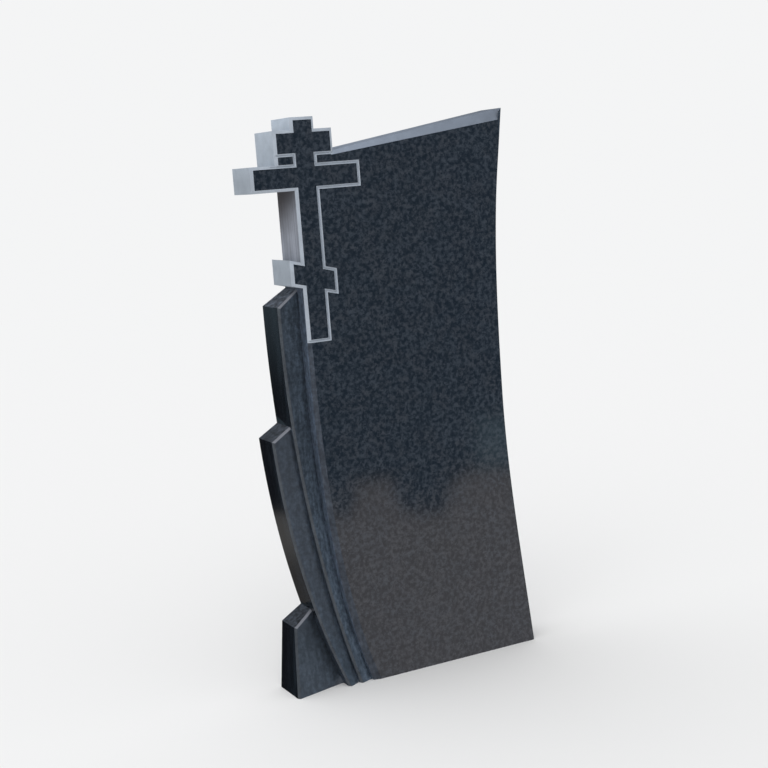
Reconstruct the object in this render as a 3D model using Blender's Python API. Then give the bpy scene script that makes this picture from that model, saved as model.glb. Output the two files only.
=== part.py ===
"""Headstone cut from one upright slab of polished dark stone.

A three-bar cross stands proud of the upper left corner. Below it, three leaves overlap like
shingles down the left side, each a step behind the next. The right side is hollowed in a long
curve, and the top edge rises to a pointed corner under a bevel that widens towards the point.

Sizes are in metres. Places on the stone are given as across, depth and up: across runs from
the left end of the main cross bar, depth runs back from the polished face, and up from the foot.
In the world the stone stands on the ground around the origin, with its face towards -Y.
"""
from math import hypot, radians, tan

import bmesh
import bpy

# Whole stone
HEIGHT = 1.000
WIDTH = 0.500
THICKNESS = 0.080

# Cross
ARM_WIDTH = 0.044
BORDER_WIDTH = 0.0052
BORDER_DEPTH = 0.0040
GROOVE_DEPTH = 0.0034
CROSS_LENGTH = 0.380
TOP_STUB = 0.0207
SMALL_BAR_LENGTH = 0.1088
BAR_GAP = 0.0130
MAIN_BAR_LENGTH = 0.2012
LOWER_BAR_DROP = 0.2693
LOWER_BAR_LENGTH = 0.0848
LOWER_BAR_SLANT = radians(13.9)

# Right side, hollowed between the foot and the pointed corner
FOOT_INSET = 0.0045
WAIST_INSET = 0.0400
WAIST_HEIGHT = 0.490
RIGHT_ARRIS = 0.0030

# Top edge and its bevel, which widens from the small bar to the pointed corner
CORNER_DROP = 0.0040
TOP_START_DROP = 0.0582
BEVEL_START = 0.0072
BEVEL_END = 0.0188
BEVEL_END_DEPTH = 0.0120
CORNER_SIDE_BEVEL = 0.0150
CORNER_FADE = 0.1000

# Left edge of the face below the cross, and its bevel, which widens towards the foot
FACE_FOOT = 0.1529
FACE_BEVEL_TOP = 0.0068
FACE_BEVEL_FOOT = 0.0130
FACE_BEVEL_DEPTH = 0.0040

# Leaves: where the left side stands at the top and at the foot
LEAF_ARRIS = 0.0040
LEAF_TOP_SLOPE = 0.60
UPPER_LEAF_SIDE = 0.0332
UPPER_LEAF_FOOT = 0.1272
UPPER_LEAF_BEND = 2.12
UPPER_LEAF_CLEARANCE = 0.0020
MIDDLE_LEAF_SIDE = 0.0044
MIDDLE_LEAF_FOOT = 0.1030
MIDDLE_LEAF_HEIGHT = 0.456
LOWER_LEAF_SIDE = 0.0172
LOWER_LEAF_FOOT = 0.0043
LOWER_LEAF_HEIGHT = 0.1215

# Leaves: how far their surfaces lie behind the face, at the foot and at the top
UPPER_RIDGE_DEPTHS = (0.0030, 0.0120)
UPPER_VALLEY_DEPTHS = (0.0110, 0.0285)
MIDDLE_RIDGE_DEPTHS = (0.0005, 0.0180)
MIDDLE_VALLEY_DEPTHS = (0.0110, 0.0210)
LOWER_RIDGE_DEPTHS = (0.0020, 0.0220)
LOWER_VALLEY_DEPTHS = (0.0263, 0.0350)

# Leaves: how early their depth settles on the way up, 1 being a straight slope
UPPER_LEAF_EASE = 2
MIDDLE_LEAF_EASE = 4
LOWER_LEAF_EASE = 1

# Handles of the long curves, as shares of the way across and up from the lower end
HOLLOW_FOOT_HANDLES = ((0.50, 0.39), (1.00, 0.67))
HOLLOW_TOP_HANDLES = ((0.00, 0.32), (0.06, 0.71))
FACE_HANDLES = ((0.99, 0.336), (0.99, 0.768))
MIDDLE_LEAF_HANDLES = ((0.61, 0.35), (0.90, 0.68))

# Fineness of the curves
CURVE_STEPS = 36
FEWEST_STEPS = 6
LEAF_COLUMNS = 3
HALVINGS = 40
SETTLING_ROUNDS = 12
STRAIGHT_TURN = 0.25

# How far solids run into each other, and past a face before it is cut flat
OVERLAP = 0.0090
TRIM = 0.0100
SPARE_STEP = 0.0020

STONE_COLOUR = (0.022, 0.026, 0.032, 1.0)
STONE_ROUGHNESS = 0.12

# Cross lines that follow from the sizes above
AXIS = MAIN_BAR_LENGTH / 2
SHAFT_LEFT = AXIS - ARM_WIDTH / 2
SHAFT_RIGHT = AXIS + ARM_WIDTH / 2
SMALL_BAR_TOP = HEIGHT - TOP_STUB
SMALL_BAR_FOOT = SMALL_BAR_TOP - ARM_WIDTH
MAIN_BAR_TOP = SMALL_BAR_FOOT - BAR_GAP
MAIN_BAR_FOOT = MAIN_BAR_TOP - ARM_WIDTH
CROSS_FOOT = HEIGHT - CROSS_LENGTH
LOWER_BAR_MIDDLE = HEIGHT - LOWER_BAR_DROP
LOWER_BAR_LEFT = AXIS - LOWER_BAR_LENGTH / 2
LOWER_BAR_RIGHT = AXIS + LOWER_BAR_LENGTH / 2
UPPER_LEAF_MEETS = LOWER_BAR_MIDDLE + tan(LOWER_BAR_SLANT) * ARM_WIDTH / 2 - ARM_WIDTH / 2
UPPER_LEAF_HEIGHT = (UPPER_LEAF_MEETS - UPPER_LEAF_CLEARANCE
                     - LEAF_TOP_SLOPE * (SHAFT_LEFT - UPPER_LEAF_SIDE))


def clear_scene():
    for thing in list(bpy.data.objects):
        bpy.data.objects.remove(thing, do_unlink=True)


def place(across, depth, up):
    """World position of a place on the stone."""
    return (across - WIDTH / 2, depth - THICKNESS / 2, up)


def lower_bar_line(across, side):
    """Height of the slanted bar's upper (side 1) or lower (side -1) line."""
    return LOWER_BAR_MIDDLE - tan(LOWER_BAR_SLANT) * (across - AXIS) + side * ARM_WIDTH / 2


def bezier(points, t):
    """Point on a cubic curve with four control points."""
    s = 1 - t
    weights = (s ** 3, 3 * s * s * t, 3 * s * t * t, t ** 3)
    return tuple(sum(w * p[axis] for w, p in zip(weights, points)) for axis in (0, 1))


def curve_up(start, end, handles):
    """Control points of a cubic curve that rises from start to end."""
    between = [(start[0] + (end[0] - start[0]) * across, start[1] + (end[1] - start[1]) * up)
               for across, up in handles]
    return (start, *between, end)


def straight_on(near, end, up):
    """Across value at a height, on the straight line from one point through another."""
    return end[0] + (end[0] - near[0]) / (end[1] - near[1]) * (up - end[1])


def across_at(points, up):
    """Across value at a height, on a rising cubic curve that runs straight on at its ends."""
    if up <= points[0][1]:
        return straight_on(points[1], points[0], up)
    if up >= points[3][1]:
        return straight_on(points[2], points[3], up)
    low, high = 0.0, 1.0
    for _ in range(HALVINGS):
        middle = (low + high) / 2
        if bezier(points, middle)[1] < up:
            low = middle
        else:
            high = middle
    return bezier(points, high)[0]


def right_side_curves():
    """The hollow of the right side: from the foot to the waist, then on to the pointed corner."""
    waist = (WIDTH - WAIST_INSET, WAIST_HEIGHT)
    return (curve_up((WIDTH - FOOT_INSET, 0.0), waist, HOLLOW_FOOT_HANDLES),
            curve_up(waist, (WIDTH, HEIGHT - CORNER_DROP), HOLLOW_TOP_HANDLES))


def face_side(up):
    """Left side of the face: a curve that sweeps in from the foot, then the cross shaft."""
    if up >= CROSS_FOOT:
        return SHAFT_LEFT
    return across_at(curve_up((FACE_FOOT, 0.0), (SHAFT_LEFT, CROSS_FOOT), FACE_HANDLES), up)


def upper_leaf_side(up):
    """Left side of the leaf under the cross: upright at its top, leaning out at the foot."""
    fallen = max(1 - up / UPPER_LEAF_HEIGHT, 0.0)
    return UPPER_LEAF_SIDE + (UPPER_LEAF_FOOT - UPPER_LEAF_SIDE) * fallen ** UPPER_LEAF_BEND


def middle_leaf_side(up):
    foot = (MIDDLE_LEAF_FOOT, 0.0)
    top = (MIDDLE_LEAF_SIDE, MIDDLE_LEAF_HEIGHT)
    return across_at(curve_up(foot, top, MIDDLE_LEAF_HANDLES), up)


def lower_leaf_side(up):
    return LOWER_LEAF_FOOT + (LOWER_LEAF_SIDE - LOWER_LEAF_FOOT) * up / LOWER_LEAF_HEIGHT


def depth_law(depths, height, ease):
    """Depth behind the face as a function of height, easing out from the foot to the top."""
    foot, top = depths

    def depth(up):
        share = min(max(up / height, 0.0), 1.0)
        return foot + (top - foot) * (1 - (1 - share) ** ease)

    return depth


def new_object(name, bm):
    """Object from a bmesh, with faces turned outward."""
    bmesh.ops.recalc_face_normals(bm, faces=bm.faces)
    mesh = bpy.data.meshes.new(name)
    bm.to_mesh(mesh)
    bm.free()
    thing = bpy.data.objects.new(name, mesh)
    bpy.context.scene.collection.objects.link(thing)
    return thing


def right_bevel(up):
    """Width and depth of the bevel on the right side, which swells towards the corner."""
    share = max(0.0, 1 - (HEIGHT - CORNER_DROP - up) / CORNER_FADE) ** 2
    width = RIGHT_ARRIS + (CORNER_SIDE_BEVEL - RIGHT_ARRIS) * share
    depth = RIGHT_ARRIS + (BEVEL_END_DEPTH - RIGHT_ARRIS) * share
    return width, depth


def face_bevel(up):
    """Width of the bevel on the left edge of the face."""
    return FACE_BEVEL_FOOT + (FACE_BEVEL_TOP - FACE_BEVEL_FOOT) * up / CROSS_FOOT


def plate_outline():
    """Corners of the plate with the cross, each with its bevel depth and the next edge's width.

    A corner is (across, up, bevel depth, bevel width at the start and at the end of the edge
    that follows). The corners run anticlockwise as seen from the front.
    """
    corners = [(face_side(-TRIM), -TRIM, FACE_BEVEL_DEPTH, 0.0, 0.0)]

    curves = right_side_curves()
    right = [(across_at(curves[0], -TRIM), -TRIM)]
    for curve in curves:
        right += [bezier(curve, step / CURVE_STEPS) for step in range(CURVE_STEPS)]
    right.append((WIDTH, HEIGHT - CORNER_DROP))
    for (across, up), (_, next_up) in zip(right, right[1:]):
        width, depth = right_bevel(up)
        corners.append((across, up, depth, width, right_bevel(next_up)[0]))
    corners.append((*right[-1], BEVEL_END_DEPTH, BEVEL_END, BEVEL_START))

    border = (BORDER_DEPTH, BORDER_WIDTH, BORDER_WIDTH)
    small_left = AXIS - SMALL_BAR_LENGTH / 2
    small_right = AXIS + SMALL_BAR_LENGTH / 2
    cross = [(small_right, HEIGHT - TOP_START_DROP),
             (small_right, SMALL_BAR_TOP),
             (SHAFT_RIGHT, SMALL_BAR_TOP),
             (SHAFT_RIGHT, HEIGHT),
             (SHAFT_LEFT, HEIGHT),
             (SHAFT_LEFT, SMALL_BAR_TOP),
             (small_left, SMALL_BAR_TOP),
             (small_left, MAIN_BAR_TOP),
             (0.0, MAIN_BAR_TOP),
             (0.0, MAIN_BAR_FOOT),
             (SHAFT_LEFT, MAIN_BAR_FOOT),
             (SHAFT_LEFT, lower_bar_line(SHAFT_LEFT, 1)),
             (LOWER_BAR_LEFT, lower_bar_line(LOWER_BAR_LEFT, 1)),
             (LOWER_BAR_LEFT, lower_bar_line(LOWER_BAR_LEFT, -1)),
             (SHAFT_LEFT, lower_bar_line(SHAFT_LEFT, -1))]
    corners += [(across, up, *border) for across, up in cross]

    heights = [CROSS_FOOT * (1 - step / CURVE_STEPS) for step in range(CURVE_STEPS)] + [-TRIM]
    for up, next_up in zip(heights, heights[1:]):
        corners.append((face_side(up), up, FACE_BEVEL_DEPTH, face_bevel(up), face_bevel(next_up)))
    return corners


def inward(start, end):
    """Unit vector at right angles to an edge of the outline, pointing into the plate."""
    length = hypot(end[0] - start[0], end[1] - start[1])
    return (start[1] - end[1]) / length, (end[0] - start[0]) / length


def inset_corner(before, corner, after):
    """Where the bevel's inner lines meet at a corner of the outline."""
    first = inward(before, corner)
    second = inward(corner, after)
    turn = first[0] * second[1] - first[1] * second[0]
    end_width = before[4]
    start_width = corner[3]
    if abs(turn) < STRAIGHT_TURN:
        width = (end_width + start_width) / 2
        return tuple(corner[axis] + (first[axis] + second[axis]) / 2 * width for axis in (0, 1))
    a = [before[axis] + first[axis] * before[3] for axis in (0, 1)]
    b = [corner[axis] + first[axis] * end_width for axis in (0, 1)]
    c = [corner[axis] + second[axis] * start_width for axis in (0, 1)]
    d = [after[axis] + second[axis] * corner[4] for axis in (0, 1)]
    ab = (b[0] - a[0], b[1] - a[1])
    cd = (d[0] - c[0], d[1] - c[1])
    share = ((c[0] - a[0]) * cd[1] - (c[1] - a[1]) * cd[0]) / (ab[0] * cd[1] - ab[1] * cd[0])
    return a[0] + ab[0] * share, a[1] + ab[1] * share


def make_plate():
    """The face with the cross, bevelled all round, running past the back and the foot."""
    corners = plate_outline()
    count = len(corners)
    bm = bmesh.new()
    face_ring = []
    edge_ring = []
    back_ring = []
    for index, corner in enumerate(corners):
        across, up, depth = corner[:3]
        inner = inset_corner(corners[index - 1], corner, corners[(index + 1) % count])
        face_ring.append(bm.verts.new(place(inner[0], 0.0, inner[1])))
        edge_ring.append(bm.verts.new(place(across, depth, up)))
        back_ring.append(bm.verts.new(place(across, THICKNESS + TRIM, up)))
    rim = []
    for index in range(count):
        after = (index + 1) % count
        for front, rear in ((face_ring, edge_ring), (edge_ring, back_ring)):
            rim.append(bm.faces.new((front[index], rear[index], rear[after], front[after])))
    bmesh.ops.triangulate(bm, faces=rim)
    bm.faces.new(face_ring)
    bm.faces.new(back_ring)
    return new_object("headstone", bm)


def make_leaf(name, side, next_side, height, ridge, valley, spare):
    """One leaf: a grid for its front, sloping in from its ridge, and the same grid at the back."""
    steps = max(FEWEST_STEPS, round(CURVE_STEPS * height / UPPER_LEAF_HEIGHT))
    levels = [-spare / height] + [step / steps for step in range(steps)] + [1.0]
    back = THICKNESS + spare
    top_across = side(height)

    def spot(share, up):
        """Across and depth for a share of the way from ridge to valley, or beyond the valley."""
        start = side(up) + LEAF_ARRIS
        end = next_side(up)
        if share < 0:
            return side(up), ridge(up) + LEAF_ARRIS
        if share > 1:
            share = 1 + OVERLAP / (end - start)
        return start + (end - start) * share, ridge(up) + (valley(up) - ridge(up)) * share

    columns = [-1.0] + [step / LEAF_COLUMNS for step in range(LEAF_COLUMNS)] + [2.0]
    grid = []
    for share in columns:
        top = height
        for _ in range(SETTLING_ROUNDS):
            top = height + LEAF_TOP_SLOPE * (spot(share, top)[0] - top_across)
        column = []
        for level in levels:
            up = top * level if level > 0 else height * level
            if level == 1.0:
                across, depth = spot(share, top - LEAF_ARRIS)
                column.append((across, depth, top - LEAF_ARRIS))
            else:
                column.append((*spot(share, up), up))
        across, depth = spot(share, top)
        column.append((across, depth + (LEAF_ARRIS if share >= 0 else 0.0), top))
        grid.append(column)

    bm = bmesh.new()
    front = [[bm.verts.new(place(*p)) for p in column] for column in grid]
    rear = [[bm.verts.new(place(p[0], back, p[2])) for p in column] for column in grid]
    wide = len(grid)
    tall = len(grid[0])
    for column in range(wide - 1):
        for row in range(tall - 1):
            for sheet in (front, rear):
                bm.faces.new((sheet[column][row], sheet[column + 1][row],
                              sheet[column + 1][row + 1], sheet[column][row + 1]))
        for row in (0, tall - 1):
            bm.faces.new((front[column][row], front[column + 1][row],
                          rear[column + 1][row], rear[column][row]))
    for row in range(tall - 1):
        for column in (0, wide - 1):
            bm.faces.new((front[column][row], front[column][row + 1],
                          rear[column][row + 1], rear[column][row]))
    bmesh.ops.triangulate(bm, faces=bm.faces)
    return new_object(name, bm)


def make_leaves():
    """The three leaves, each running a little under the one on its right.

    Each also runs further past the back and the foot than the one before it, so that no two
    of their ends lie in one plane.
    """
    rows = (
        ("upper_leaf", upper_leaf_side, face_side, UPPER_LEAF_HEIGHT,
         UPPER_RIDGE_DEPTHS, UPPER_VALLEY_DEPTHS, UPPER_LEAF_EASE),
        ("middle_leaf", middle_leaf_side, upper_leaf_side, MIDDLE_LEAF_HEIGHT,
         MIDDLE_RIDGE_DEPTHS, MIDDLE_VALLEY_DEPTHS, MIDDLE_LEAF_EASE),
        ("lower_leaf", lower_leaf_side, middle_leaf_side, LOWER_LEAF_HEIGHT,
         LOWER_RIDGE_DEPTHS, LOWER_VALLEY_DEPTHS, LOWER_LEAF_EASE),
    )
    leaves = []
    spare = TRIM
    for name, side, next_side, height, ridges, valleys, ease in rows:
        spare += SPARE_STEP
        leaves.append(make_leaf(name, side, next_side, height,
                                depth_law(ridges, height, ease),
                                depth_law(valleys, height, ease), spare))
    return leaves


def make_trim_box():
    """Everything the stone may fill: it cuts the back and the foot flat."""
    bm = bmesh.new()
    bmesh.ops.create_cube(bm, size=1.0)
    low = place(-TRIM, -2 * TRIM, 0.0)
    high = place(WIDTH + TRIM, THICKNESS, HEIGHT + TRIM)
    for vert in bm.verts:
        for axis in range(3):
            vert.co[axis] = low[axis] if vert.co[axis] < 0 else high[axis]
    return new_object("trim_box", bm)


def groove_paths():
    """Middle lines of the V grooves that part the cross from the face behind it."""
    half = BORDER_WIDTH / 2
    left = SHAFT_LEFT + half
    right = SHAFT_RIGHT - half
    small_end = AXIS + SMALL_BAR_LENGTH / 2
    main_end = AXIS + MAIN_BAR_LENGTH / 2 - half
    lower_end = LOWER_BAR_RIGHT - half
    small_foot = SMALL_BAR_FOOT + half
    main_top = MAIN_BAR_TOP - half
    main_foot = MAIN_BAR_FOOT + half
    foot = CROSS_FOOT + half
    lower_bar = [(across, lower_bar_line(across, side) - side * half)
                 for across, side in ((right, 1), (lower_end, 1), (lower_end, -1), (right, -1))]
    outer = [(small_end, small_foot), (right, small_foot),
             (right, main_top), (main_end, main_top), (main_end, main_foot), (right, main_foot),
             *lower_bar, (right, foot), (SHAFT_LEFT - OVERLAP, foot)]
    free_end = AXIS - SMALL_BAR_LENGTH / 2 - OVERLAP
    inner = [(free_end, small_foot), (left, small_foot), (left, main_top), (free_end, main_top)]
    return outer, inner


def make_groove(name, path):
    """V-shaped cutter along a line of straight runs, mitred at its corners.

    It stands as far in front of the face as it cuts in, and is twice the groove's width there.
    """
    bm = bmesh.new()
    rings = []
    normals = [inward(*run) for run in zip(path, path[1:])]
    for index, (across, up) in enumerate(path):
        near = normals[max(index - 1, 0):index + 1]
        normal_across = sum(normal[0] for normal in near) / len(near)
        normal_up = sum(normal[1] for normal in near) / len(near)
        scale = BORDER_WIDTH / (normal_across ** 2 + normal_up ** 2)
        ring = [bm.verts.new(place(across + side * normal_across * scale, -GROOVE_DEPTH,
                                   up + side * normal_up * scale)) for side in (1, -1)]
        rings.append((*ring, bm.verts.new(place(across, GROOVE_DEPTH, up))))
    for first, second in zip(rings, rings[1:]):
        for corner in range(3):
            after = (corner + 1) % 3
            bm.faces.new((first[corner], first[after], second[after], second[corner]))
    bm.faces.new(rings[0])
    bm.faces.new(rings[-1])
    bmesh.ops.triangulate(bm, faces=bm.faces)
    return new_object(name, bm)


def combine(target, tool, operation):
    """Exact Boolean, kept as the target's own mesh. The tool is used up."""
    modifier = target.modifiers.new(operation, "BOOLEAN")
    modifier.operation = operation
    modifier.object = tool
    modifier.solver = "EXACT"
    graph = bpy.context.evaluated_depsgraph_get()
    result = bpy.data.meshes.new_from_object(target.evaluated_get(graph))
    target.modifiers.clear()
    target.data = result
    bpy.data.objects.remove(tool, do_unlink=True)


def polished_stone():
    material = bpy.data.materials.new("polished dark stone")
    material.use_nodes = True
    shader = material.node_tree.nodes["Principled BSDF"]
    shader.inputs["Base Color"].default_value = STONE_COLOUR
    shader.inputs["Roughness"].default_value = STONE_ROUGHNESS
    shader.inputs["Metallic"].default_value = 0.0
    return material


def main():
    clear_scene()
    stone = make_plate()
    for leaf in make_leaves():
        combine(stone, leaf, "UNION")
    combine(stone, make_trim_box(), "INTERSECT")
    for number, path in enumerate(groove_paths()):
        combine(stone, make_groove(f"groove_{number}", path), "DIFFERENCE")
    stone.data.materials.clear()
    stone.data.materials.append(polished_stone())
    for polygon in stone.data.polygons:
        polygon.material_index = 0
    stone.data.shade_smooth()
    stone.data.set_sharp_from_angle(angle=radians(20))


main()
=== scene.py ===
"""Looks of a polished stone headstone: its finishes, its eased arrises, the floor, light and camera.

Sizes are in metres, in the frame's own axes: +Z up, the polished face towards -Y. Places on the
stone are given as across from its left edge, depth behind its face, and up from its foot.
"""
from math import cos, radians, sin

import bmesh
import bpy
from mathutils import Matrix, Vector


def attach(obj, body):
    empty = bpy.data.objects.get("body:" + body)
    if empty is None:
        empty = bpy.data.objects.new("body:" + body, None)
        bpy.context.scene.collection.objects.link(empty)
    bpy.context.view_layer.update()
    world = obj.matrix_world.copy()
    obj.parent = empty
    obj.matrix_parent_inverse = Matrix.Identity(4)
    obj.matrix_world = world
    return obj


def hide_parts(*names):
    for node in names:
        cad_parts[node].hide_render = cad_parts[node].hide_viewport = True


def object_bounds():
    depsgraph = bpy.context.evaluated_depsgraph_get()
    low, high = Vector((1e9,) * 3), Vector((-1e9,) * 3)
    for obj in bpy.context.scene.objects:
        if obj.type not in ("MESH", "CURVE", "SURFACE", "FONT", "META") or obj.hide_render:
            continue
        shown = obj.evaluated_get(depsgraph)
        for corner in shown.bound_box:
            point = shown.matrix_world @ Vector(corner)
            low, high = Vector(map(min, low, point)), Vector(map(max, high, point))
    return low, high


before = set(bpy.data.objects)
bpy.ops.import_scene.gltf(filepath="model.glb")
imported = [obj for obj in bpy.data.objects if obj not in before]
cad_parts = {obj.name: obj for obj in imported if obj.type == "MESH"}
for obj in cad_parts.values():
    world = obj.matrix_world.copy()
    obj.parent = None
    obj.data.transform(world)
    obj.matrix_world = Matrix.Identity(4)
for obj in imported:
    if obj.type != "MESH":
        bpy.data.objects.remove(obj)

CAD_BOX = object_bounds()
LOW = CAD_BOX[0]

# Camera
IMAGE_PIXELS = 768
FOCAL_PIXELS = 1413.0
SENSOR_WIDTH = 36.0
CAMERA_PLACE = Vector((-1.137, -2.231, 0.908))
CAMERA_YAW = radians(26.73)
CAMERA_PITCH = radians(-8.74)
CAMERA_ROLL = radians(4.37)

# Where the finishes meet on the stone
SMALL_BAR_RIGHT = 0.1550
MAIN_BAR_RIGHT = 0.2012
MAIN_BAR_TOP = 0.9223
MAIN_BAR_FOOT = 0.8783
SHAFT_LEFT = 0.0786
CROSS_FOOT = 0.6200
BORDER_DEPTH = 0.0042
CROSS_WALL_FOOT = 0.7050
TOP_EDGE_FOOT = 0.9300
RIGHT_SIDE = 0.4000
LEAF_MARGIN = 0.0120
INNER_SIDE_DEPTH = 0.0340
NEAR = 0.0010
FLUSH = 1e-5

# Which way a flat faces, by the share of its normal along an axis
BACKWARD = 0.9
FORWARD = -0.9999
SIDEWAYS = 0.2
UPWARD = 0.2
LEAF_TOP_UPWARD = 0.3
STONE_TOP_UPWARD = 0.5

# Left sides of the face and of the three leaves, as (up, across) from the foot up
FACE_SIDE = ((0.00, 0.1529), (0.04, 0.1399), (0.08, 0.1288), (0.12, 0.1193), (0.17, 0.1094),
             (0.23, 0.0999), (0.30, 0.0916), (0.38, 0.0851), (0.48, 0.0805), (0.60, 0.0787),
             (0.70, 0.0786))
UPPER_SIDE = ((0.00, 0.1272), (0.04, 0.1159), (0.08, 0.1054), (0.12, 0.0957), (0.17, 0.0845),
              (0.23, 0.0727), (0.30, 0.0609), (0.38, 0.0501), (0.48, 0.0405), (0.60, 0.0343),
              (0.70, 0.0332))
MIDDLE_SIDE = ((0.00, 0.1030), (0.04, 0.0885), (0.08, 0.0752), (0.12, 0.0630), (0.17, 0.0495),
               (0.23, 0.0355), (0.30, 0.0223), (0.38, 0.0112), (0.48, 0.0027))
LOWER_SIDE = ((0.00, 0.0043), (0.14, 0.0192))

# Tones by height, as (up, level)
UPPER_LEAF_HEIGHTS = ((0.0, 1.12), (0.16, 1.25), (0.28, 1.15), (0.35, 0.93), (0.46, 0.78), (0.70, 0.76))
MIDDLE_LEAF_HEIGHTS = ((0.0, 1.30), (0.08, 1.25), (0.18, 1.10), (0.32, 1.10), (0.40, 0.90), (0.48, 0.85))
LOWER_LEAF_HEIGHTS = ((0.0, 1.30), (0.04, 1.25), (0.09, 0.90), (0.14, 0.85))
STEP_HEIGHTS = ((0.0, 1.0), (0.26, 1.08), (0.34, 0.95), (0.42, 1.0), (0.50, 1.20), (0.62, 1.12),
                (0.70, 0.90))
FACE_BEVEL_HEIGHTS = ((0.0, 0.80), (0.22, 0.85), (0.30, 0.92), (0.40, 1.0), (0.62, 1.0))
LEAF_TOP_HEIGHTS = ((0.10, 0.95), (0.46, 1.12), (0.60, 1.40), (0.70, 1.90))
WALL_HEIGHTS = ((0.90, 0.92), (0.925, 1.12), (0.95, 1.10), (1.0, 1.40))

# Tones of the leaves' fronts from their left side, 0, to the next left side, 1, as (share, level)
# They are painted light and shade: lighter where a leaf meets the wall beside it, offsetting the shade
# there, and darker in bands between.
UPPER_LEAF_SHARES = ((0.0, 1.10), (0.25, 1.25), (0.50, 1.50), (0.75, 1.80), (0.90, 1.65), (1.0, 1.35))
MIDDLE_LEAF_SHARES = ((0.0, 1.0), (0.25, 1.05), (0.50, 0.85), (0.75, 0.98), (1.0, 1.10))
LOWER_LEAF_SHARES = ((0.0, 1.05), (0.30, 1.10), (0.55, 0.88), (0.80, 0.98), (1.0, 1.05))

# Tone of the ground top, as (across, level): it darkens towards the point
TOP_TONES = ((0.17, 1.00), (0.26, 0.88), (0.36, 0.79), (0.42, 0.72), (0.46, 0.65), (0.49, 0.60))

# Eased arrises
JOIN_DISTANCE = 1e-4
FLAT_ANGLE = radians(0.05)
ARRIS_WIDTH = 0.0005
ARRIS_ANGLE = radians(16)
ARRIS_STEPS = 2

# Stone colours
DARK_GROUND = (0.0006, 0.0007, 0.0010, 1.0)
COOL_GRAIN = (0.0292, 0.0328, 0.0382, 1.0)
WARM_GRAIN = (0.0312, 0.0325, 0.0358, 1.0)
# Outer sides, front and back: painted shade, darker than the face, standing in for the dark surroundings
# they mirror
SIDE_FRONT = (0.0060, 0.0085, 0.0110, 1.0)
SIDE_REAR = (0.0022, 0.0022, 0.0026, 1.0)
# Shaft wall: painted darker than the other walls as shade from the arms, and its painted brownish shadow
# under the main bar
SHAFT_WALL = (0.225, 0.237, 0.270)
SHAFT_WALL_SHADE = (0.048, 0.042, 0.044, 1.0)
SAWN = (0.085, 0.088, 0.095)
STONE_IOR = 1.55

# Texture of the stone
NOISE_LOW = 0.3
NOISE_HIGH = 0.7
GRAIN_SCALE = 130.0
GRAIN_MIDDLE = 0.52
WARMTH_SCALE = 38.0
MOTTLE_SCALE = 30.0
MOTTLE_RANGE = (0.91, 1.09)
CRUSHED_SCALE = 900.0
CLOUD_SCALE = 45.0
POLISHED_SPREAD = 0.16
HONED_SPREAD = 0.20
GROUND_VARIATION = 0.10
SAWN_VARIATION = 0.16
POLISHED_ROUGHNESS = 0.05
ARRIS_ROUGHNESS = 0.15
SIDE_ROUGHNESS = 0.10
GRAIN_ROUGHENING = 1.4
TOP_ROUGHNESS = 0.50
GROUND_ROUGHNESS = 0.62
SAWN_ROUGHNESS = 0.70
PIT_STRENGTH = 0.25
PIT_DEPTH = 0.0004
# Painted shadow under the main bar: how far it fades down the shaft wall, how far it rises above the bar's
# foot, and its lean with depth
SHAFT_SHADE_FALL = 0.085
SHAFT_SHADE_RISE = 0.010
SHAFT_SHADE_LEAN = 0.55
# Depths over which the outer sides' painted shade deepens towards the back
SIDE_DARKENING = (-0.025, 0.030)

# Streaks, as their scale along X, Y and Z and their lowest and highest tone. They run along the
# axes with the smallest scale.
SIDE_STREAKS = ((90.0, 90.0, 12.0), 0.40, 1.60)
HONED_STREAKS = ((140.0, 140.0, 22.0), 0.76, 1.24)
CUTTER_STREAKS = ((260.0, 260.0, 5.0), 0.80, 1.18)
SAW_STROKES = ((5.0, 5.0, 240.0), 0.88, 1.12)

# Floor and light
FLOOR_SIZE = 80.0
FLOOR_COLOUR = (0.850, 0.830, 0.805, 1.0)
FLOOR_ROUGHNESS = 0.9
FLOOR_FADE = (1.5, 8.0)
BACKDROP = (0.905, 0.910, 0.915, 1.0)
AMBIENT_LEFT = (1.27, 1.31, 1.37, 1.0)
AMBIENT_RIGHT = (0.66, 0.68, 0.70, 1.0)
KEY_FROM = (-0.8, -1.2, 1.4)
KEY_STRENGTH = 0.45
KEY_SPREAD = radians(45)


def add_node(tree, kind, inputs=None, **settings):
    """A shader node with its settings, and inputs that are set or joined to another socket."""
    node = tree.nodes.new("ShaderNode" + kind)
    for name, value in settings.items():
        setattr(node, name, value)
    for name, value in (inputs or {}).items():
        socket = node.inputs[name]
        if isinstance(value, bpy.types.NodeSocket):
            tree.links.new(value, socket)
        else:
            socket.default_value = value
    return node


def combine(tree, operation, first, second=0.0):
    """Result of a sum, product or other operation on two values."""
    return add_node(tree, "Math", {0: first, 1: second}, operation=operation).outputs[0]


def eased(tree, value, low, high, to_low=0.0, to_high=1.0):
    """Value eased from one range to another."""
    inputs = {"Value": value, "From Min": low, "From Max": high, "To Min": to_low, "To Max": to_high}
    return add_node(tree, "MapRange", inputs, interpolation_type="SMOOTHSTEP").outputs["Result"]


def mix_colour(tree, share, first, second):
    node = add_node(tree, "Mix", {0: share, 6: first, 7: second}, data_type="RGBA")
    return node.outputs[2]


def noise(tree, place, scale, detail=2.0, roughness=0.5):
    inputs = {"Vector": place, "Scale": scale, "Detail": detail, "Roughness": roughness}
    return add_node(tree, "TexNoise", inputs).outputs["Fac"]


def stretched(tree, place, scale):
    return add_node(tree, "VectorMath", {0: place, 1: scale}, operation="MULTIPLY").outputs[0]


def scaled(colour, factor):
    return tuple(part * factor for part in colour) + (1.0,)


def scale_colour(tree, colour, factor):
    inputs = {0: colour, "Scale": factor}
    return add_node(tree, "VectorMath", inputs, operation="SCALE").outputs[0]


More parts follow.
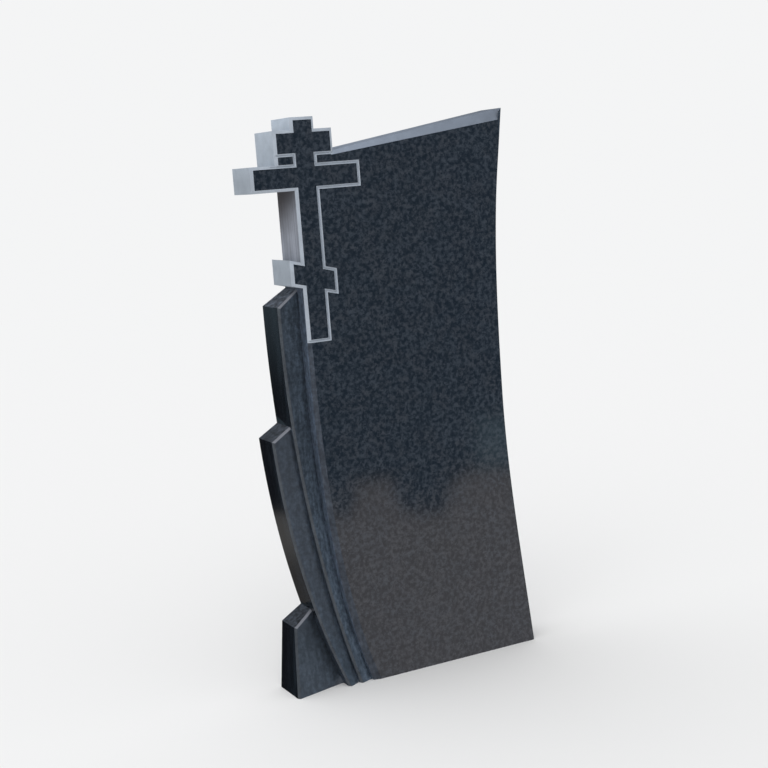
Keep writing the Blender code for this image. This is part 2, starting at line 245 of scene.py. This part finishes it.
def streaked(tree, place, scale, low, high):
    """A factor that varies in streaks."""
    grain = noise(tree, stretched(tree, place, scale), 1.0, 3.0)
    return eased(tree, grain, NOISE_LOW, NOISE_HIGH, low, high)


def knot_curve(tree, value, knots):
    """Level at a value, on straight lines between knots of (value, level).

    A ramp is kept in 256 steps, so knots that lie close together need a short span.
    """
    first, last = knots[0][0], knots[-1][0]
    low = min(level for _, level in knots)
    high = max(level for _, level in knots)
    share = combine(tree, "DIVIDE", combine(tree, "SUBTRACT", value, first), last - first)
    ramp = add_node(tree, "ValToRGB", {0: share})
    elements = ramp.color_ramp.elements
    while len(elements) < len(knots):
        elements.new(0.5)
    for element, (at, level) in zip(elements, knots):
        part = (level - low) / (high - low)
        element.position = (at - first) / (last - first)
        element.color = (part, part, part, 1.0)
    return combine(tree, "ADD", combine(tree, "MULTIPLY", ramp.outputs[0], high - low), low)


def level_at(knots, value):
    """The same level as a number."""
    for (start, first), (end, last) in zip(knots, knots[1:]):
        if value <= end:
            return first + (last - first) * max(value - start, 0.0) / (end - start)
    return knots[-1][1]


def new_material(name):
    material = bpy.data.materials.new(name)
    material.use_nodes = True
    tree = material.node_tree
    return material, tree, tree.nodes["Principled BSDF"]


def crystal_grain(tree, place, spread):
    """Share of light crystal at a place: dapples of 1 to 8 mm."""
    dapple = noise(tree, place, GRAIN_SCALE, 3.0, 0.72)
    return eased(tree, dapple, GRAIN_MIDDLE - spread, GRAIN_MIDDLE + spread)


def polished_stone(name, roughness=POLISHED_ROUGHNESS):
    """Mirror polish: the crystals show through as a fine speckle."""
    material, tree, shader = new_material(name)
    place = add_node(tree, "TexCoord").outputs["Object"]
    grain = crystal_grain(tree, place, POLISHED_SPREAD)
    mottle = eased(tree, noise(tree, place, MOTTLE_SCALE), NOISE_LOW, NOISE_HIGH, *MOTTLE_RANGE)
    warmth = eased(tree, noise(tree, place, WARMTH_SCALE), 0.40, 0.60)
    colour = mix_colour(tree, grain, DARK_GROUND, mix_colour(tree, warmth, COOL_GRAIN, WARM_GRAIN))
    tree.links.new(scale_colour(tree, colour, mottle), shader.inputs["Base Color"])
    matte = eased(tree, grain, 0.0, 1.0, roughness, roughness * GRAIN_ROUGHENING)
    tree.links.new(matte, shader.inputs["Roughness"])
    shader.inputs["IOR"].default_value = STONE_IOR
    return material


def polished_side():
    """Polished outer sides: painted darker than the face, as shade for the dark surroundings they mirror,
    and darker still towards the back.
    """
    material, tree, shader = new_material("polished_side")
    place = add_node(tree, "TexCoord").outputs["Object"]
    depth = add_node(tree, "SeparateXYZ", {0: place}).outputs["Y"]
    # Painted shade, deepening towards the back
    colour = mix_colour(tree, eased(tree, depth, *SIDE_DARKENING), SIDE_FRONT, SIDE_REAR)
    streaks = streaked(tree, place, *SIDE_STREAKS)
    tree.links.new(scale_colour(tree, colour, streaks), shader.inputs["Base Color"])
    shader.inputs["Roughness"].default_value = SIDE_ROUGHNESS
    shader.inputs["IOR"].default_value = STONE_IOR
    return material


def share_across(tree, parts, left, right):
    """How far a place lies from one left side, 0, to the next, 1."""
    across = combine(tree, "SUBTRACT", parts.outputs["X"], LOW.x)
    start = knot_curve(tree, parts.outputs["Z"], left)
    end = knot_curve(tree, parts.outputs["Z"], right)
    return combine(tree, "DIVIDE", combine(tree, "SUBTRACT", across, start),
                   combine(tree, "SUBTRACT", end, start))


def honed_stone(name, colour, roughness, spread=0.40, sheen=0.5, heights=None, sides=None):
    """Rubbed smooth but not polished: mottled, with a soft sheen.

    Its tone may follow the height, as knots, and the share of the way between two left sides.
    """
    material, tree, shader = new_material(name)
    place = add_node(tree, "TexCoord").outputs["Object"]
    parts = add_node(tree, "SeparateXYZ", {0: place})
    grain = crystal_grain(tree, place, HONED_SPREAD)
    varied = mix_colour(tree, grain, scaled(colour, 1 - spread), scaled(colour, 1 + spread))
    tone = streaked(tree, place, *HONED_STREAKS)
    if heights:
        tone = combine(tree, "MULTIPLY", tone, knot_curve(tree, parts.outputs["Z"], heights))
    # Tones across a leaf, from the share knots, are painted light and shade
    if sides:
        left, right, knots = sides
        share = share_across(tree, parts, left, right)
        tone = combine(tree, "MULTIPLY", tone, knot_curve(tree, share, knots))
    tree.links.new(scale_colour(tree, varied, tone), shader.inputs["Base Color"])
    shader.inputs["Roughness"].default_value = roughness
    shader.inputs["Specular IOR Level"].default_value = sheen
    shader.inputs["IOR"].default_value = STONE_IOR
    return material


def ground_colour(tree, place, colour, spread=GROUND_VARIATION):
    """Unpolished stone, fine crushed grain under a soft mottle, and the grain itself."""
    fine = noise(tree, place, CRUSHED_SCALE, 3.0, 0.7)
    cloud = noise(tree, place, CLOUD_SCALE, 3.0, 0.6)
    share = combine(tree, "ADD", combine(tree, "MULTIPLY", fine, 0.5),
                    combine(tree, "MULTIPLY", cloud, 0.5))
    varied = mix_colour(tree, eased(tree, share, 0.35, 0.65), scaled(colour, 1 - spread),
                        scaled(colour, 1 + spread))
    return varied, fine


def rough_surface(tree, shader, height, roughness=GROUND_ROUGHNESS):
    """Matte surface with fine pits."""
    shader.inputs["Roughness"].default_value = roughness
    bump = add_node(tree, "Bump", {"Strength": PIT_STRENGTH, "Distance": PIT_DEPTH, "Height": height})
    tree.links.new(bump.outputs["Normal"], shader.inputs["Normal"])


def ground_stone(name, colour, roughness=GROUND_ROUGHNESS, along="Z", knots=None):
    """Cut and ground but not polished: pale and matte, with fine pits. Its tone may follow an axis."""
    material, tree, shader = new_material(name)
    place = add_node(tree, "TexCoord").outputs["Object"]
    varied, fine = ground_colour(tree, place, colour)
    if knots:
        distance = add_node(tree, "SeparateXYZ", {0: place}).outputs[along]
        varied = scale_colour(tree, varied, knot_curve(tree, distance, knots))
    tree.links.new(varied, shader.inputs["Base Color"])
    rough_surface(tree, shader, fine, roughness)
    return material


def shaft_wall_stone():
    """Side of the cross shaft: streaked by the cutter, painted darker than the other walls as shade from
    the arms, with a painted dark brownish shadow under the main bar.
    """
    material, tree, shader = new_material("ground_shaft_wall")
    place = add_node(tree, "TexCoord").outputs["Object"]
    varied, fine = ground_colour(tree, place, SHAFT_WALL)
    cut = scale_colour(tree, varied, streaked(tree, place, *CUTTER_STREAKS))
    parts = add_node(tree, "SeparateXYZ", {0: place})
    lean = combine(tree, "MULTIPLY", parts.outputs["Y"], SHAFT_SHADE_LEAN)
    height = combine(tree, "ADD", parts.outputs["Z"], lean)
    # Painted shadow of the main bar
    shade = eased(tree, height, MAIN_BAR_FOOT - SHAFT_SHADE_FALL, MAIN_BAR_FOOT + SHAFT_SHADE_RISE)
    tree.links.new(mix_colour(tree, shade, cut, SHAFT_WALL_SHADE), shader.inputs["Base Color"])
    rough_surface(tree, shader, fine)
    return material


def sawn_stone():
    """Back and underside: left as sawn, matte, with the faint level strokes of the saw."""
    material, tree, shader = new_material("sawn_back")
    place = add_node(tree, "TexCoord").outputs["Object"]
    varied, fine = ground_colour(tree, place, SAWN, SAWN_VARIATION)
    scale, low, high = SAW_STROKES
    strokes = noise(tree, stretched(tree, place, scale), 1.0, 3.0, 0.6)
    shade = eased(tree, strokes, NOISE_LOW, NOISE_HIGH, low, high)
    tree.links.new(scale_colour(tree, varied, shade), shader.inputs["Base Color"])
    rough_surface(tree, shader, combine(tree, "ADD", fine, strokes), SAWN_ROUGHNESS)
    return material


def make_finishes():
    """Every finish of the stone by name, in the order of its material slots."""
    return {
        "face": polished_stone("polished_face"),
        "arris": polished_stone("polished_arris", ARRIS_ROUGHNESS),
        "side": polished_side(),
        "inner_side": honed_stone("honed_inner_side", (0.029, 0.038, 0.050), 0.45, sheen=0.25),
        "ridge": honed_stone("satin_ridge", (0.0260, 0.0310, 0.0360), 0.38),
        # The leaves' fronts carry painted light and shade across them, from their share tones
        "upper_leaf": honed_stone("satin_upper_leaf", (0.036, 0.0475, 0.0625), 0.50, sheen=0.18,
                                  heights=UPPER_LEAF_HEIGHTS,
                                  sides=(UPPER_SIDE, FACE_SIDE, UPPER_LEAF_SHARES)),
        "middle_leaf": honed_stone("satin_middle_leaf", (0.0240, 0.0322, 0.0430), 0.42,
                                   heights=MIDDLE_LEAF_HEIGHTS,
                                   sides=(MIDDLE_SIDE, UPPER_SIDE, MIDDLE_LEAF_SHARES)),
        "lower_leaf": honed_stone("satin_lower_leaf", (0.0240, 0.0310, 0.0400), 0.42,
                                  heights=LOWER_LEAF_HEIGHTS,
                                  sides=(LOWER_SIDE, MIDDLE_SIDE, LOWER_LEAF_SHARES)),
        "step": honed_stone("honed_step", (0.078, 0.100, 0.134), 0.45, sheen=0.3,
                            heights=STEP_HEIGHTS),
        "face_bevel": honed_stone("honed_face_bevel", (0.040, 0.048, 0.061), 0.45, sheen=0.25,
                                  heights=FACE_BEVEL_HEIGHTS),
        "leaf_top": honed_stone("honed_leaf_top", (0.031, 0.036, 0.045), 0.45, spread=0.9,
                                sheen=0.25, heights=LEAF_TOP_HEIGHTS),
        "leaf_top_arris": ground_stone("ground_leaf_arris", (0.165, 0.170, 0.190)),
        "border": ground_stone("ground_border", (0.345, 0.380, 0.425)),
        "wall": ground_stone("ground_wall", (0.300, 0.335, 0.375), knots=WALL_HEIGHTS),
        "shaft_wall": shaft_wall_stone(),
        "top": ground_stone("ground_top", (0.235, 0.270, 0.328), TOP_ROUGHNESS, along="X",
                            knots=[(LOW.x + across, level) for across, level in TOP_TONES]),
        "sawn": sawn_stone(),
    }


def side_finish(across, up, depth, normal):
    """Finish of a flat that runs straight back from the front."""
    if normal.z > STONE_TOP_UPWARD and across > SMALL_BAR_RIGHT - NEAR and up > TOP_EDGE_FOOT:
        return "top"
    if across < SMALL_BAR_RIGHT + NEAR and up > CROSS_WALL_FOOT:
        beside_shaft = abs(across - SHAFT_LEFT) < NEAR and up < MAIN_BAR_FOOT
        return "shaft_wall" if beside_shaft else "wall"
    if normal.z > LEAF_TOP_UPWARD:
        return "leaf_top"
    if normal.x < 0.0 and across > level_at(UPPER_SIDE, up) + LEAF_MARGIN:
        return "step"
    return "inner_side" if normal.x < 0.0 and depth < INNER_SIDE_DEPTH else "side"


def finish_of(centre, normal):
    """Which finish a flat of the stone has, from where it lies and which way it faces."""
    across = centre.x - LOW.x
    depth = centre.y - LOW.y
    up = centre.z
    if normal.y > BACKWARD or up < FLUSH:
        return "sawn"
    if normal.y < FORWARD and depth < FLUSH:
        return "face"
    if abs(normal.y) < SIDEWAYS:
        return side_finish(across, up, depth, normal)
    in_cross = up > CROSS_FOOT - NEAR and across < MAIN_BAR_RIGHT + NEAR and depth < BORDER_DEPTH
    if in_cross and not (across > SMALL_BAR_RIGHT and up > MAIN_BAR_TOP + 2 * NEAR):
        return "border"
    if normal.z > UPWARD and up > TOP_EDGE_FOOT:
        return "top"
    if across > RIGHT_SIDE:
        return "arris"
    if normal.z > LEAF_TOP_UPWARD:
        return "leaf_top_arris"
    if normal.x < 0.0:
        return "face_bevel" if across > level_at(UPPER_SIDE, up) + LEAF_MARGIN else "ridge"
    if across > level_at(UPPER_SIDE, up):
        return "upper_leaf"
    return "middle_leaf" if across > level_at(MIDDLE_SIDE, up) else "lower_leaf"


def is_arris(edge):
    """Whether an edge is an outward one to be eased. Where two flats of the border meet it stays crisp."""
    border = list(FINISHES).index("border")
    between_borders = all(face.material_index == border for face in edge.link_faces)
    return edge.calc_face_angle_signed() > ARRIS_ANGLE and not between_borders


def make_stone():
    """The solid's own surface, with a finish for each flat and its outward edges eased."""
    bm = bmesh.new()
    bm.from_mesh(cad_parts["headstone"].data)
    bmesh.ops.remove_doubles(bm, verts=bm.verts, dist=JOIN_DISTANCE)
    bmesh.ops.dissolve_limit(bm, angle_limit=FLAT_ANGLE, verts=bm.verts, edges=bm.edges)
    bm.normal_update()
    for face in bm.faces:
        face.smooth = True
        face.material_index = list(FINISHES).index(finish_of(face.calc_center_median(), face.normal))
    for edge in bm.edges:
        edge.smooth = is_arris(edge) or edge.calc_face_angle() < ARRIS_ANGLE
    arrises = [edge for edge in bm.edges if is_arris(edge)]
    bmesh.ops.bevel(bm, geom=arrises, offset=ARRIS_WIDTH, segments=ARRIS_STEPS, profile=0.5,
                    affect="EDGES", clamp_overlap=True, material=-1)
    mesh = bpy.data.meshes.new("stone")
    bm.to_mesh(mesh)
    bm.free()
    stone = bpy.data.objects.new("carved_stone", mesh)
    bpy.context.scene.collection.objects.link(stone)
    for finish in FINISHES.values():
        mesh.materials.append(finish)
    normals = stone.modifiers.new("even_normals", "WEIGHTED_NORMAL")
    normals.keep_sharp = True
    return stone


def make_floor():
    """Pale floor that fades into the backdrop far away. The polish mirrors the world, not the floor."""
    bm = bmesh.new()
    bmesh.ops.create_grid(bm, x_segments=8, y_segments=8, size=FLOOR_SIZE / 2)
    mesh = bpy.data.meshes.new("floor")
    bm.to_mesh(mesh)
    bm.free()
    floor = bpy.data.objects.new("floor", mesh)
    bpy.context.scene.collection.objects.link(floor)
    material, tree, shader = new_material("pale_floor")
    place = add_node(tree, "TexCoord").outputs["Object"]
    distance = add_node(tree, "VectorMath", {0: place}, operation="LENGTH").outputs["Value"]
    shader.inputs["Base Color"].default_value = FLOOR_COLOUR
    shader.inputs["Roughness"].default_value = FLOOR_ROUGHNESS
    shader.inputs["Specular IOR Level"].default_value = 0.0
    far = add_node(tree, "Emission", {"Color": BACKDROP, "Strength": 1.0}).outputs[0]
    seen = add_node(tree, "MixShader", {0: eased(tree, distance, *FLOOR_FADE),
                                        1: shader.outputs[0], 2: far}).outputs[0]
    clear = add_node(tree, "BsdfTransparent").outputs[0]
    glossy = add_node(tree, "LightPath").outputs["Is Glossy Ray"]
    whole = add_node(tree, "MixShader", {0: glossy, 1: seen, 2: clear}).outputs[0]
    tree.links.new(whole, tree.nodes["Material Output"].inputs["Surface"])
    mesh.materials.append(material)


# What the polish mirrors, by azimuth and elevation in degrees. Azimuth is 0 straight out from the
# face, and positive to the right. The ground ahead begins under an uneven line.
DIM = (0.024, 0.028, 0.038, 1.0)
GROUND_LINE = ((22.0, -12.9), (24.1, -13.2), (24.3, -13.9), (24.95, -13.8), (25.25, -12.6),
               (26.7, -12.45), (27.1, -13.8), (27.8, -13.95), (28.9, -13.95), (29.2, -12.8),
               (30.0, -12.4))
BRIGHT_LINE = ((30.1, -13.0), (30.4, -10.4), (32.5, -10.2), (40.0, -6.0), (52.0, -2.0),
               (90.0, 2.0), (115.0, -13.0))
LINE_EDGE = 0.35
ALL_ROUND = (-200.0, 200.0)
DEEP = -100.0
FAR_GROUND = (0.245, 0.240, 0.235, 1.0)
DEEP_GROUND = (0.104, 0.101, 0.102, 1.0)
LEFT_HAZE = (0.12, 0.17, 0.21, 1.0)
NEAR_GROUND = (0.92, 0.93, 1.02, 1.0)
HAZE = (0.23, 0.36, 0.54, 1.0)
BRIGHT_SIDE = (0.50, 0.75, 0.97, 1.0)
LEFT_WINDOW = (1.05, 1.15, 1.30, 1.0)
BEHIND = (0.20, 0.22, 0.25, 1.0)
SKY = (0.85, 0.92, 1.00, 1.0)


def within(tree, value, span, edge):
    """1 inside a span, easing to 0 over its edges. An end of the span may be a socket."""
    low, high = span
    rise = eased(tree, combine(tree, "SUBTRACT", value, low), -edge, edge)
    fall = eased(tree, combine(tree, "SUBTRACT", value, high), edge, -edge)
    return combine(tree, "MULTIPLY", rise, fall)


def mirrored_surroundings(tree):
    """Colour that the polish mirrors in each direction."""
    direction = add_node(tree, "SeparateXYZ", {0: add_node(tree, "TexCoord").outputs["Generated"]})
    ahead = combine(tree, "MULTIPLY", direction.outputs["Y"], -1.0)
    azimuth = combine(tree, "DEGREES", combine(tree, "ARCTAN2", direction.outputs["X"], ahead))
    elevation = combine(tree, "DEGREES", combine(tree, "ARCSINE", direction.outputs["Z"]))
    ground = knot_curve(tree, azimuth, GROUND_LINE)
    bright = knot_curve(tree, azimuth, BRIGHT_LINE)
    # Azimuths, their soft edge, elevations, their soft edge and the colour
    patches = (
        (ALL_ROUND, 5.0, (DEEP, -19.3), 0.4, FAR_GROUND),
        (ALL_ROUND, 5.0, (DEEP, -22.8), 1.6, DEEP_GROUND),
        ((-172.0, -140.0), 6.0, (-8.0, 60.0), 4.0, LEFT_HAZE),
        ((-60.0, 110.0), 10.0, (DEEP, ground), LINE_EDGE, NEAR_GROUND),
        ((-60.0, 110.0), 10.0, (ground, 50.0), LINE_EDGE, HAZE),
        ((30.3, 110.0), 0.2, (ground, bright), LINE_EDGE, BRIGHT_SIDE),
        ((-95.0, -58.0), 5.0, (-50.0, 10.0), 6.0, LEFT_WINDOW),
        ((150.0, 200.0), 8.0, (8.0, 50.0), 6.0, BEHIND),
        ((-200.0, -160.0), 5.0, (8.0, 50.0), 6.0, BEHIND),
        (ALL_ROUND, 5.0, (45.0, 100.0), 12.0, SKY),
    )
    colour = DIM
    for sides, side_edge, heights, height_edge, paint in patches:
        share = combine(tree, "MULTIPLY", within(tree, azimuth, sides, side_edge),
                        within(tree, elevation, heights, height_edge))
        colour = mix_colour(tree, share, colour, paint)
    return colour


def make_world():
    """Even soft light, a pale backdrop, and surroundings for the polish to mirror."""
    world = bpy.data.worlds.new("studio")
    bpy.context.scene.world = world
    world.use_nodes = True
    tree = world.node_tree
    tree.nodes.clear()
    path = add_node(tree, "LightPath")
    side = add_node(tree, "SeparateXYZ", {0: add_node(tree, "TexCoord").outputs["Generated"]}).outputs["X"]
    ambient = mix_colour(tree, eased(tree, side, -1.0, 1.0), AMBIENT_LEFT, AMBIENT_RIGHT)
    lit = mix_colour(tree, path.outputs["Is Glossy Ray"], ambient, mirrored_surroundings(tree))
    shown = mix_colour(tree, path.outputs["Is Camera Ray"], lit, BACKDROP)
    background = add_node(tree, "Background", {"Color": shown, "Strength": 1.0})
    output = add_node(tree, "OutputWorld")
    tree.links.new(background.outputs[0], output.inputs["Surface"])


def make_key_light():
    data = bpy.data.lights.new("key", "SUN")
    data.energy = KEY_STRENGTH
    data.angle = KEY_SPREAD
    light = bpy.data.objects.new("key", data)
    light.rotation_euler = Vector(KEY_FROM).to_track_quat("Z", "Y").to_euler()
    light.visible_glossy = False
    bpy.context.scene.collection.objects.link(light)


def make_camera():
    data = bpy.data.cameras.new("camera")
    data.sensor_width = SENSOR_WIDTH
    data.lens = SENSOR_WIDTH * FOCAL_PIXELS / IMAGE_PIXELS
    forward = Vector((sin(CAMERA_YAW) * cos(CAMERA_PITCH), cos(CAMERA_YAW) * cos(CAMERA_PITCH),
                      sin(CAMERA_PITCH)))
    level = Vector((cos(CAMERA_YAW), -sin(CAMERA_YAW), 0.0))
    fall = forward.cross(level)
    right = cos(CAMERA_ROLL) * level + sin(CAMERA_ROLL) * fall
    down = cos(CAMERA_ROLL) * fall - sin(CAMERA_ROLL) * level
    turn = Matrix((right, -down, -forward)).transposed().to_4x4()
    camera = bpy.data.objects.new("camera", data)
    camera.matrix_world = Matrix.Translation(CAMERA_PLACE) @ turn
    bpy.context.scene.collection.objects.link(camera)
    bpy.context.scene.camera = camera


make_camera()
FINISHES = make_finishes()
stone = make_stone()
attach(stone, "root")
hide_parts("headstone")
make_floor()
make_world()
make_key_light()
bpy.context.scene.view_settings.view_transform = "Standard"
